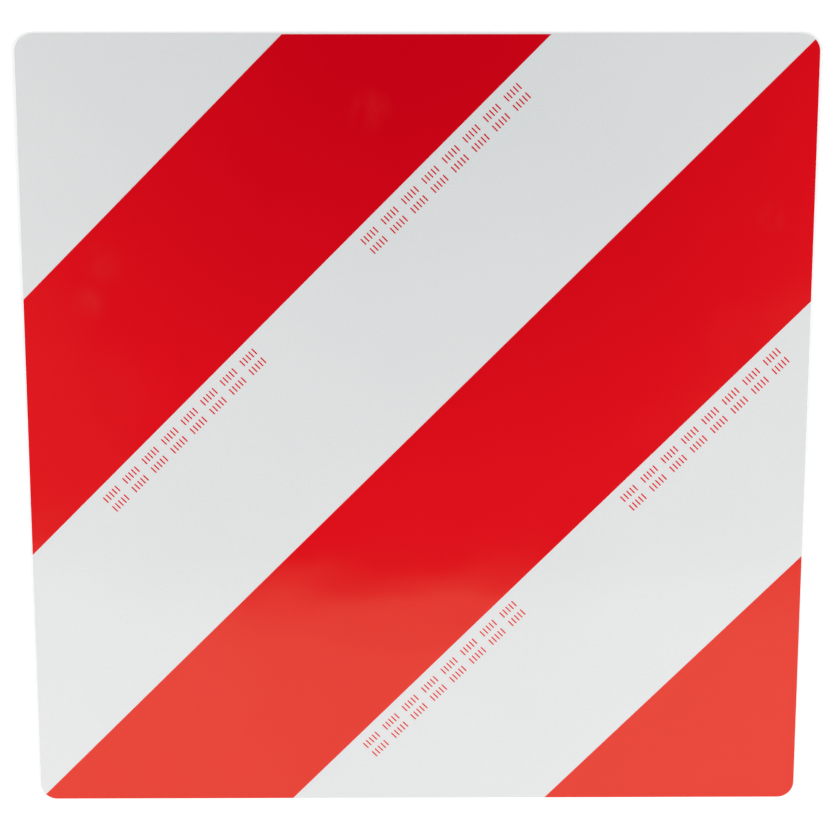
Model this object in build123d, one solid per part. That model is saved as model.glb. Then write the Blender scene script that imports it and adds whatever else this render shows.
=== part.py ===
# Hazard marker board: a square aluminium blank, faced with white retroreflective film that is
# printed with red diagonal stripes. It lies on its back, with X to the right, Y towards its top
# edge and Z out of the printed face. The origin is the middle of the back face.
# All sizes are in millimetres, and angles in degrees.
from build123d import *
from math import ceil, cos, radians, sin
import os

# The blank
board_side = 423.0
corner_radius = 9.0
sheet_thickness = 1.5
back_edge_break = 0.2

# The film on its front, and the ink on the film
film_thickness = 0.2
ink_thickness = 0.05

# The stripes: their width at a right angle to their edges, and how far they lean up from X
stripe_width = 100.0
stripe_lean = 45.0

film_bottom = sheet_thickness
ink_bottom = film_bottom + film_thickness

os.makedirs("parts", exist_ok=True)


def outline():
    """The shape that the film, its print and the sheet are cut to in one stroke."""
    return RectangleRounded(board_side, board_side, corner_radius)


def aluminium_sheet():
    """The blank, with the sharp arris all round its back taken off."""
    blank = extrude(outline(), sheet_thickness)
    back_edges = blank.edges().group_by(Axis.Z)[0]
    return fillet(back_edges, back_edge_break)


def reflective_film():
    """One sheet of film, bonded over the whole front and flush with the blank's edges."""
    return Pos(0, 0, film_bottom) * extrude(outline(), film_thickness)


def stripe_reach():
    """How far the rounded square reaches from its centre, square to the stripes."""
    spread = sin(radians(stripe_lean)) + cos(radians(stripe_lean))
    return board_side / 2 * spread - corner_radius * (spread - 1)


def stripe(step):
    """One stripe of ink, whose lower edge lies that many stripe widths above the diagonal."""
    length = 2 * board_side
    middle = (step + 0.5) * stripe_width
    band = Rot(0, 0, stripe_lean) * Pos(0, middle) * Rectangle(length, stripe_width)
    return Pos(0, 0, ink_bottom) * extrude(outline() & band, ink_thickness)


def red_steps():
    """The places of the red stripes, counted from the diagonal outwards.

    Red and white take turns all over the board, so every second place is red.
    """
    steps_each_way = ceil(stripe_reach() / stripe_width)
    every_step = range(-steps_each_way, steps_each_way)
    red = [step for step in every_step if step % 2 == 1]
    return sorted(red, key=lambda step: abs(step + 0.5))


export_step(aluminium_sheet(), "parts/aluminium_sheet.step")
export_step(reflective_film(), "parts/reflective_film.step")
for number, step in enumerate(red_steps(), start=1):
    export_step(stripe(step), f"parts/red_stripe_{number}.step")
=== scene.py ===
import math
import bmesh
import bpy
from mathutils import Matrix, Vector


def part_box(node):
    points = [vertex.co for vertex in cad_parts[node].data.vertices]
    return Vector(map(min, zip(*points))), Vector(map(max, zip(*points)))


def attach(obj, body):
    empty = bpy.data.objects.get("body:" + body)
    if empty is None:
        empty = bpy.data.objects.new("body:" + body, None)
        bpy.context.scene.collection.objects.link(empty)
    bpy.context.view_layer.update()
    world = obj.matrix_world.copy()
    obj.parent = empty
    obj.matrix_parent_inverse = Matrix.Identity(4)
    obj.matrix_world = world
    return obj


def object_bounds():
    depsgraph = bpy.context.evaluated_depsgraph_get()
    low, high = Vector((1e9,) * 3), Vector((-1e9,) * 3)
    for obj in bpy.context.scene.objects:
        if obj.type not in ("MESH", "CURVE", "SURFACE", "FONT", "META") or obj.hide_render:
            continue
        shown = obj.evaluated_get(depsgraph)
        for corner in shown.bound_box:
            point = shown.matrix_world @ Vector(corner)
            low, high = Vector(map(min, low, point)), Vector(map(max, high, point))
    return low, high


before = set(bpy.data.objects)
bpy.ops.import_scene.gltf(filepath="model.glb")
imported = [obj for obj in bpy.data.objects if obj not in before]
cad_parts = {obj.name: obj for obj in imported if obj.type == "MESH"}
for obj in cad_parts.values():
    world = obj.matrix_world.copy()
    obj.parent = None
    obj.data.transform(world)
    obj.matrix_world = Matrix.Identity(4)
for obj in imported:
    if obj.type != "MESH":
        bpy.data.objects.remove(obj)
cad_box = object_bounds()


# The aluminium sheet
# The blank that carries the film is flat rolled aluminium, cut to its outline in one stroke.
# Its back keeps the bare mill finish, with a fine grain in the direction of rolling, and its
# cut edges show the upright drag lines of the punch.

metal_dull = (0.66, 0.67, 0.68, 1.0)
metal_bright = (0.86, 0.87, 0.88, 1.0)
metal_roughness = 0.27
rolled_line = 0.0012
dragged_line = 0.0005
scuff_width = 0.0011
tarnish_size = 0.07
line_depth = 0.00002


class Wire:
    """One output of a node. Sums, differences and products of wires add Math nodes."""

    def __init__(self, tree, socket=None):
        self.tree = tree
        self.socket = socket

    def node(self, kind, settings, sockets, output=0):
        """Add a node, set it up, fill its sockets with values or wires, and give one output."""
        made = self.tree.nodes.new(kind)
        for name, value in settings.items():
            if name == "stops":
                set_stops(made.color_ramp, value)
            else:
                setattr(made, name, value)
        for name, value in sockets.items():
            if isinstance(value, Wire):
                self.tree.links.new(value.socket, made.inputs[name])
            else:
                made.inputs[name].default_value = value
        return Wire(self.tree, made.outputs[output] if made.outputs else None)

    def maths(self, operation, *others):
        """One Math node on this wire and other wires or numbers."""
        values = dict(enumerate((self, *others)))
        return self.node("ShaderNodeMath", {"operation": operation}, values)

    def __add__(self, other):
        return self.maths("ADD", other)

    def __sub__(self, other):
        return self.maths("SUBTRACT", other)

    def __rsub__(self, other):
        return self.maths("MULTIPLY_ADD", -1.0, other)

    def __mul__(self, other):
        return self.maths("MULTIPLY", other)

    __radd__ = __add__
    __rmul__ = __mul__

    def grain(self, size, detail=2.0, stretch=(1.0, 1.0, 1.0)):
        """Noise from 0 to 1 at this place, with blotches of that size in metres.

        A stretch below 1 draws the blotches out along that axis.
        """
        scale = tuple(part / size for part in stretch)
        place = self.node("ShaderNodeMapping", {}, {"Vector": self, "Scale": scale})
        sockets = {"Vector": place, "Scale": 1.0, "Detail": detail}
        return self.node("ShaderNodeTexNoise", {}, sockets)

    def part(self, axis):
        """One of a vector's three parts, as X, Y or Z."""
        return self.node("ShaderNodeSeparateXYZ", {}, {"Vector": self}, axis)

    def ramp(self, *stops):
        """The level at this wire on a line through the stops, as pairs of place and level."""
        return self.node("ShaderNodeValToRGB", {"stops": stops}, {"Fac": self})

    def far_from(self, point):
        """How far this place is from a point, in metres."""
        distance = {"operation": "DISTANCE"}
        return self.node("ShaderNodeVectorMath", distance, {0: self, 1: point}, "Value")

    def climb(self, start, end, top=1.0):
        """From 0 to the top as this wire goes from the start to the end, and level beyond them."""
        sockets = {"Value": self, "From Min": start, "From Max": end, "To Min": 0.0, "To Max": top}
        return self.node("ShaderNodeMapRange", {}, sockets)

    def spread(self):
        """Noise, which keeps near its middle, drawn out to go all the way from 0 to 1."""
        return self.climb(0.25, 0.75)

    def blend(self, first, second):
        """A colour that turns from the first to the second as this wire goes from 0 to 1."""
        return self.node("ShaderNodeMix", {"data_type": "RGBA"}, {0: self, 6: first, 7: second}, 2)

    def bump(self, depth, normal=None):
        """The surface's normal where this wire raises it, by that depth for each 1 of the wire."""
        sockets = {"Height": self, "Strength": 1.0, "Distance": depth}
        if normal:
            sockets["Normal"] = normal
        return self.node("ShaderNodeBump", {}, sockets)


def set_stops(ramp, stops):
    """Give a colour ramp its grey stops, as pairs of place and level."""
    while len(ramp.elements) < len(stops):
        ramp.elements.new(0.5)
    for element, (place, level) in zip(ramp.elements, stops):
        element.position = place
        element.color = (level, level, level, 1.0)


def new_material(name):
    """A material with no nodes yet but the one that gives the place on the object."""
    material = bpy.data.materials.new(name)
    material.use_nodes = True
    material.node_tree.nodes.clear()
    place = Wire(material.node_tree).node("ShaderNodeTexCoord", {}, {}, "Object")
    return material, place


def coat_with(place, sockets):
    """End a material with its surface shader, whose sockets are numbers, colours or wires."""
    surface = place.node("ShaderNodeBsdfPrincipled", {}, sockets)
    place.node("ShaderNodeOutputMaterial", {}, {"Surface": surface})


mill_aluminium, place = new_material("mill_aluminium")
rolled = place.grain(rolled_line, detail=4.0, stretch=(0.006, 1.0, 1.0)).climb(0.30, 0.70)
tarnish = place.grain(tarnish_size, stretch=(0.4, 1.0, 1.0)).spread()
dragged = place.grain(dragged_line, stretch=(1.0, 1.0, 0.08)).spread()
scuffed = place.grain(scuff_width, stretch=(1.0, 0.012, 1.0)).climb(0.68, 0.74)

# The back faces straight down, and the cut edges face sideways.
normal = place.node("ShaderNodeNewGeometry", {}, {}, "Normal")
flat = normal.part("Z").maths("ABSOLUTE").maths("GREATER_THAN", 0.7)
lines = flat * rolled + (1 - flat) * dragged
wear = lines * 0.6 + tarnish * 0.4 - flat * scuffed * 0.15
coat_with(place, {
    "Base Color": wear.blend(metal_dull, metal_bright),
    "Metallic": 1.0,
    "Roughness": metal_roughness + lines * 0.12 + tarnish * 0.10 + flat * scuffed * 0.15,
    "Normal": lines.bump(line_depth),
})

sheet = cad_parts["aluminium_sheet"]
sheet.material_slots[0].material = mill_aluminium


# The reflective film
# A white retroreflective film is bonded over the whole front. Under a clear, glossy top layer it
# holds a bed of tiny glass beads, which show as a fine grain. The film isn't quite flat: it
# carries slow waves from the bonding, and the sheet under it is sprung a little at its corners,
# which bends the edges of what is reflected in it.

film_white = (0.790, 0.781, 0.786, 1.0)
film_shade = (0.660, 0.692, 0.702, 1.0)
film_shine = 0.25
film_roughness = 0.060
bead_size = 0.0006
cloud_size = 0.09
smear_size = 0.05

# The top layer has a fine peel. The waves are noise, and wave_start picks the stretch of it that
# lies on the board.
peel_size = 0.004
peel_depth = 0.0000015
wave_size = 0.060
wave_depth = 0.00046
wave_start = (-0.441, -0.211, -0.177)
spring = 0.0038
half_side = cad_box[1].x

# Painted shade: the face is painted a touch darker and cooler round a spot at its top edge,
# most of all in the spot's core.
painted_shade_spot = (-0.005, 0.22, 0.0)
painted_shade_core = 0.04
painted_shade_reach = 0.25

# Where hands have left a smudge on the glossy face: its middle on the board, and its radius.
smudges = (
    ((-0.169, 0.091, 0.0018), 0.013),
    ((-0.176, 0.070, 0.0018), 0.011),
    ((-0.026, 0.172, 0.0018), 0.014),
    ((0.189, 0.116, 0.0018), 0.010),
)
smudge_core = 0.3
smudge_streak = 0.009


def film_normal(place):
    """The sprung corners, the slow waves of the bonded film, and the peel of its top layer.

    The upper corners stand forward and the lower ones back, and the middle line stays flat.
    """
    across = place.part("X") * (1 / half_side)
    up = place.part("Y") * (1 / half_side)
    sprung = (across * across * up).bump(spring)
    moved = place.node("ShaderNodeVectorMath", {"operation": "ADD"}, {0: place, 1: wave_start})
    waves = moved.grain(wave_size, detail=1.0).bump(wave_depth, sprung)
    return place.grain(peel_size, detail=1.0).bump(peel_depth, waves)


def painted_light_share(place):
    """Painted light on the face: 0 in the painted shade's core, 1 beyond its reach."""
    return place.far_from(painted_shade_spot).climb(painted_shade_core, painted_shade_reach)


def smudged(place):
    """How greasy the face is: nothing but in the smudges, which are broken up into streaks.

    A smudge is strongest in its core, which is a share of its radius.
    """
    noise = place.grain(smudge_streak, detail=3.0, stretch=(1.0, 0.5, 1.0))
    streaks = noise.ramp((0.30, 0.0), (0.70, 1.0))
    spots = []
    for middle, radius in smudges:
        spots.append(place.far_from(middle).climb(radius, smudge_core * radius))
    return streaks * sum(spots)


def film_gloss(place, grease):
    """How rough the glossy face is: even, but for faint smears and the smudges."""
    smears = place.grain(smear_size, detail=3.0, stretch=(1.0, 0.5, 1.0))
    return film_roughness + smears * 0.05 + grease * 0.10


white_film, place = new_material("white_film")
beads = place.grain(bead_size, detail=1.0).spread()
clouds = place.grain(cloud_size).spread()
# The film's grey mixes its bead grain and random clouds with the painted shade at the top middle.
bead_cloud_and_painted_light = beads * 0.45 + clouds * 0.15 + painted_light_share(place) * 0.40
coat_with(place, {
    "Base Color": bead_cloud_and_painted_light.blend(film_shade, film_white),
    "Roughness": film_gloss(place, smudged(place)),
    "Specular IOR Level": film_shine,
    "Normal": film_normal(place),
})

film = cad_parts["reflective_film"]
film.material_slots[0].material = white_film


# The red stripes
# The stripes are screen printed on the film in a clear red ink, so the film's bead grain shows
# through them a little, and they carry its waves. The squeegee leaves the ink a touch uneven,
# and painted shade makes the red deeper round the same spot at the top edge.

ink_red = (0.762, 0.0045, 0.0110, 1.0)
# The deep red is the colour of the painted shade, and of the thicker ink in the squeegee's
# streaks.
ink_deep_and_shaded = (0.582, 0.0001, 0.0080, 1.0)
ink_veiled = (0.680, 0.0130, 0.0180, 1.0)
ink_tint = (1.0, 0.93, 0.55, 1.0)
pull_width = 0.03

red_ink, place = new_material("red_ink")
beads = place.grain(bead_size, detail=1.0).spread()
pulled = place.grain(pull_width, detail=3.0, stretch=(1.0, 0.15, 1.0))
grease = smudged(place)
# The red mixes the bead grain and the squeegee's streaks with painted shade at the top middle.
ink_grain_and_painted_light = beads * 0.10 + pulled * 0.15 + painted_light_share(place) * 0.75
coat_with(place, {
    "Base Color": (grease * 0.5).blend(ink_grain_and_painted_light.blend(ink_deep_and_shaded, ink_red), ink_veiled),
    "Roughness": film_gloss(place, grease),
    "Specular Tint": ink_tint,
    "Normal": film_normal(place),
})

for number in (1, 2, 3):
    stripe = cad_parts[f"red_stripe_{number}"]
    stripe.material_slots[0].material = red_ink


# The rows of marks
# Beside the lower edges of the two long stripes, the same ink prints pairs of small rows. They
# are plain upright strokes here, in even groups, as thick as the stripes are.

mark_height = 0.0043
mark_width = 0.00075
mark_step = 0.0023
marks_in_group = 5
group_step = 0.0153
groups_in_row = 8
corner_steps = 3

# How far the two rows of a pair lie below the stripe's edge, and how far along it the first pair
# lies from the board's middle.
row_drops = (0.0071, 0.0140)
first_middle = -0.090

along = Vector((1.0, 1.0)) / math.sqrt(2)
upward = Vector((-1.0, 1.0)) / math.sqrt(2)

# The low corner of the upper stripe's box lies on its lower edge, one width off the diagonal.
ink_low, ink_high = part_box("red_stripe_2")
stripe_width = Vector((ink_low.x, ink_low.y)).dot(upward)


def rounded_bar(width, height):
    """The outline of an upright bar with rounded ends, as points round its middle."""
    radius = width / 2
    points = []
    for end in (1, -1):
        for step in range(corner_steps + 1):
            turn = math.pi * step / corner_steps
            rise = end * (height / 2 - radius + radius * math.sin(turn))
            points.append((end * radius * math.cos(turn), rise))
    return points


def add_prism(mesh, outline, low, high):
    """Add a closed prism on an outline, given anticlockwise, between two heights."""
    lower = [mesh.verts.new((*point, low)) for point in outline]
    upper = [mesh.verts.new((*point, high)) for point in outline]
    mesh.faces.new(upper)
    mesh.faces.new(reversed(lower))
    for here in range(len(outline)):
        after = (here + 1) % len(outline)
        mesh.faces.new((lower[here], lower[after], upper[after], upper[here]))


bar = rounded_bar(mark_width, mark_height)
row_length = (groups_in_row - 1) * group_step + (marks_in_group - 1) * mark_step
mesh = bmesh.new()
for edge in (stripe_width, -stripe_width):
    for middle in (first_middle, first_middle + 2 * stripe_width):
        for drop in row_drops:
            for mark in range(groups_in_row * marks_in_group):
                group, member = divmod(mark, marks_in_group)
                reach = middle - row_length / 2 + group * group_step + member * mark_step
                spot = along * reach + upward * (edge - drop)
                outline = [spot + along * x + upward * y for x, y in bar]
                add_prism(mesh, outline, ink_low.z, ink_high.z)
marks = bpy.data.objects.new("print_marks", bpy.data.meshes.new("print_marks"))
mesh.to_mesh(marks.data)
mesh.free()
marks.data.materials.append(red_ink)
bpy.context.scene.collection.objects.link(marks)
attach(marks, "root")


# The table
# The board lies on a plain white table. The table is open under the board, inside its outline,
# so that the board's back is lit and shows when it is looked at from below. The table's top lies
# a hair below the back, so that the two faces don't coincide.

table_reach = 4.0
open_share = 0.985
table_drop = 0.0001
table_paint = (0.80, 0.80, 0.80, 1.0)
black = (0.0, 0.0, 0.0, 1.0)
white = (1.0, 1.0, 1.0, 1.0)

# How white the table shows itself round the board, and how much more from glow_end outwards.
near_glow = 0.26
added_glow = 0.60
glow_start = 0.28
glow_end = 1.0

face_low, face_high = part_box("aluminium_sheet")
mesh = bmesh.new()
rings = []
for reach in (table_reach, face_high.x * open_share):
    corners = [(-reach, -reach), (reach, -reach), (reach, reach), (-reach, reach)]
    rings.append([mesh.verts.new((*corner, face_low.z - table_drop)) for corner in corners])
outer, inner = rings
for here in range(len(outer)):
    after = (here + 1) % len(outer)
    mesh.faces.new((outer[here], outer[after], inner[after], inner[here]))
table = bpy.data.objects.new("table", bpy.data.meshes.new("table"))
mesh.to_mesh(table.data)
mesh.free()

white_table, place = new_material("white_table")
outwards = place.far_from((0.0, 0.0, 0.0)).climb(glow_start, glow_end)
from_camera = place.node("ShaderNodeLightPath", {}, {}, "Is Camera Ray")
from_gloss = place.node("ShaderNodeLightPath", {}, {}, "Is Glossy Ray")
from_glass = place.node("ShaderNodeLightPath", {}, {}, "Is Transmission Ray")
shown = from_camera.maths("MAXIMUM", from_gloss.maths("MAXIMUM", from_glass))
glow = shown * (near_glow + outwards * added_glow)
paint = place.node("ShaderNodeBsdfPrincipled", {}, {
    "Base Color": table_paint,
    "Roughness": 1.0,
    "Specular IOR Level": 0.0,
    "Emission Color": glow.blend(black, white),
    "Emission Strength": 1.0,
})
from_below = place.node("ShaderNodeNewGeometry", {}, {}, "Backfacing")
clear = place.node("ShaderNodeBsdfTransparent", {}, {})
surface = place.node("ShaderNodeMixShader", {}, {0: from_below, 1: paint, 2: clear})
place.node("ShaderNodeOutputMaterial", {}, {"Surface": surface})
table.data.materials.append(white_table)
bpy.context.scene.collection.objects.link(table)


# The studio
# White walls all round light the board softly, and the ceiling over it is dark. A long soft box
# hangs in front of the board, with its near edge straight across, so that the glossy film
# reflects it in its lowest third. Two more soft boxes hang at the sides.

# The room's level by direction, from straight down at 0 over level at 0.5 to straight up at 1.
room_levels = (
    (0.0, 0.40), (0.20, 0.60), (0.36, 0.95), (0.50, 0.90), (0.53, 0.60),
    (0.60, 0.44), (0.75, 0.64), (0.90, 0.64), (0.965, 0.06), (1.0, 0.01),
)
room_strength = 0.92

# Light spills over the dark ceiling from both sides, and it reaches in further at the front. The
# slant says how much further, and the reach where it starts, where it is full, and its level.
left_slant = -0.35
left_reach = (0.168, 0.225, 0.19)
right_slant = -0.50
right_reach = (0.215, 0.275, 0.30)

world = bpy.data.worlds.new("studio")
bpy.context.scene.world = world
world.use_nodes = True
world.node_tree.nodes.clear()
sky = Wire(world.node_tree).node("ShaderNodeTexCoord", {}, {}, "Generated")
across = sky.part("X")
ahead = sky.part("Y")
walls = sky.part("Z").climb(-1.0, 1.0).ramp(*room_levels)
left_spill = (ahead * left_slant - across).climb(*left_reach)
right_spill = (ahead * right_slant + across).climb(*right_reach)
lit = walls.maths("MAXIMUM", left_spill.maths("MAXIMUM", right_spill))
room = sky.node("ShaderNodeBackground", {}, {"Color": lit, "Strength": room_strength})
backdrop = sky.node("ShaderNodeBackground", {}, {"Color": white, "Strength": 1.0})
camera_ray = sky.node("ShaderNodeLightPath", {}, {}, "Is Camera Ray")
view = sky.node("ShaderNodeMixShader", {}, {0: camera_ray, 1: room, 2: backdrop})
sky.node("ShaderNodeOutputWorld", {}, {"Surface": view})

box_height = 1.15
warm_white = (1.0, 0.965, 0.930)
cool_white = (0.98, 1.0, 1.0)

# Each box has its name, its low and its high corner, its level of white and its colour. The
# front box is three strips, because it is weaker along its near edge.
boxes = (
    ("front_edge", (-0.9, -0.432), (0.9, -0.400), 0.36, warm_white),
    ("front_border", (-0.9, -0.480), (0.9, -0.432), 1.28, warm_white),
    ("front_middle", (-0.9, -0.850), (0.9, -0.480), 1.48, warm_white),
    ("left_box", (-1.5, -0.75), (-0.72, 0.35), 4.1, cool_white),
    ("right_box", (0.75, -0.75), (1.5, 0.35), 4.6, cool_white),
)


def hang_box(name, low, high, level, colour):
    """Hang a soft box that shines down, over the rectangle between two corners."""
    width, length = high[0] - low[0], high[1] - low[1]
    light = bpy.data.lights.new(name, "AREA")
    light.shape = "RECTANGLE"
    light.size, light.size_y = width, length
    light.energy = level * math.pi * width * length
    light.color = colour
    box = bpy.data.objects.new(name, light)
    box.location = ((low[0] + high[0]) / 2, (low[1] + high[1]) / 2, box_height)
    box.visible_camera = False
    bpy.context.scene.collection.objects.link(box)


for box in boxes:
    hang_box(*box)


# The camera
# It hangs over the upper half of the board and looks a little back towards its lower edge, so
# the top of the board comes out wider than the bottom.

face = cad_box[1].z
camera_place = Vector((-0.0098, 0.2268, 1.1111 + face))
camera_aim = Vector((-0.0015, 0.0081, face))
back = (camera_place - camera_aim).normalized()
right = Vector((0.0, 1.0, 0.0)).cross(back).normalized()
turned = Matrix((right, back.cross(right), back)).transposed()

camera_data = bpy.data.cameras.new("camera")
camera_data.sensor_width = 36.0
camera_data.lens = 90.5
camera = bpy.data.objects.new("camera", camera_data)
camera.matrix_world = Matrix.Translation(camera_place) @ turned.to_4x4()
bpy.context.scene.collection.objects.link(camera)
bpy.context.scene.camera = camera
bpy.context.scene.view_settings.view_transform = "Standard"
